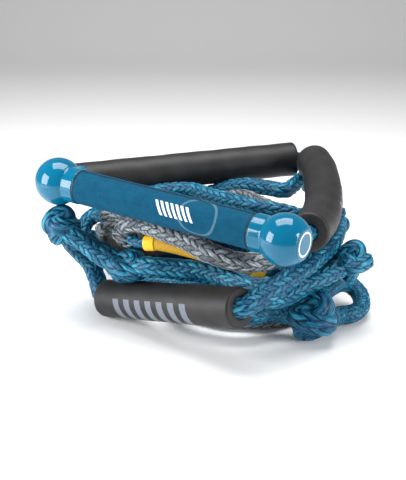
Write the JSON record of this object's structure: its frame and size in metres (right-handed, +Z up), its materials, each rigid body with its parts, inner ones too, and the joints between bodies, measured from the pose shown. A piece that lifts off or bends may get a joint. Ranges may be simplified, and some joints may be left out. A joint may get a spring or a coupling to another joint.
{
  "type": "tow rope handle",
  "caption": "Short bar handle with ball end caps on a floating foam bridle, laid on its knotted and coiled braided tow line.",
  "frame": {"origin": "on the ground, under the middle of the box round the handle, its caps and the foam floats", "axes": "+Z up; the bar runs from the back left at -X to the front right at +X"},
  "size_m": [0.2813, 0.2821, 0.1375],
  "materials": {
    "cap": "gloss",
    "plug": "gloss",
    "grip": "matte",
    "liner": "matte",
    "tube": "satin",
    "gasket": "matte",
    "foam": "matte",
    "blue_rope": "satin",
    "grey_rope": "satin",
    "sleeve": "satin",
    "band": "gloss"
  },
  "bodies": {
    "handle_and_line": {"core_tube": "tube", "foam_liner": "liner", "grip_cover": "grip", "grip_washer_left": "gasket", "grip_washer_right": "gasket", "end_cap_left": "cap", "cap_plug_left": "plug", "end_cap_right": "cap", "cap_plug_right": "plug", "float_side": "foam", "stopper_knot_left": "blue_rope", "stopper_knot_right": "blue_rope", "apex_knot": "blue_rope", "knot_left": "blue_rope", "knot_blue": "blue_rope", "knot_grey": "grey_rope", "knot_ring": "blue_rope", "knot_front": "blue_rope", "knot_side": "blue_rope", "line_coil": "blue_rope", "bridle_leg_left": "blue_rope", "bridle_leg_right": "blue_rope", "sleeve_rope": "blue_rope", "sleeve": "sleeve", "sleeve_band_left": "band", "sleeve_band_right": "band", "front_rope": "blue_rope", "lead_rope": "blue_rope", "middle_rope": "blue_rope", "grey_rope": "grey_rope", "leader_rope": "blue_rope", "coil_lead": "blue_rope", "coil_tail": "blue_rope", "end_loop": "blue_rope", "return_rope": "grey_rope"},
    "back_foam": {"float_back": "foam"},
    "inner_foam": {"float_inner": "foam"},
    "front_foam": {"float_front": "foam"}
  },
  "joints": [
    {"name": "float_back_spin", "type": "hinge", "parent": "handle_and_line", "child": "back_foam", "pos_m": [-0.11, 0.078, 0.093], "axis": [0.9737, 0.2247, 0.0374], "continuous": true},
    {"name": "float_inner_spin", "type": "hinge", "parent": "handle_and_line", "child": "inner_foam", "pos_m": [-0.08, 0.02, 0.05], "axis": [0.8944, 0.4472, 0], "continuous": true},
    {"name": "float_front_spin", "type": "hinge", "parent": "handle_and_line", "child": "front_foam", "pos_m": [-0.0713, -0.0087, 0.015], "axis": [0.7203, -0.6553, 0.2275], "continuous": true}
  ]
}
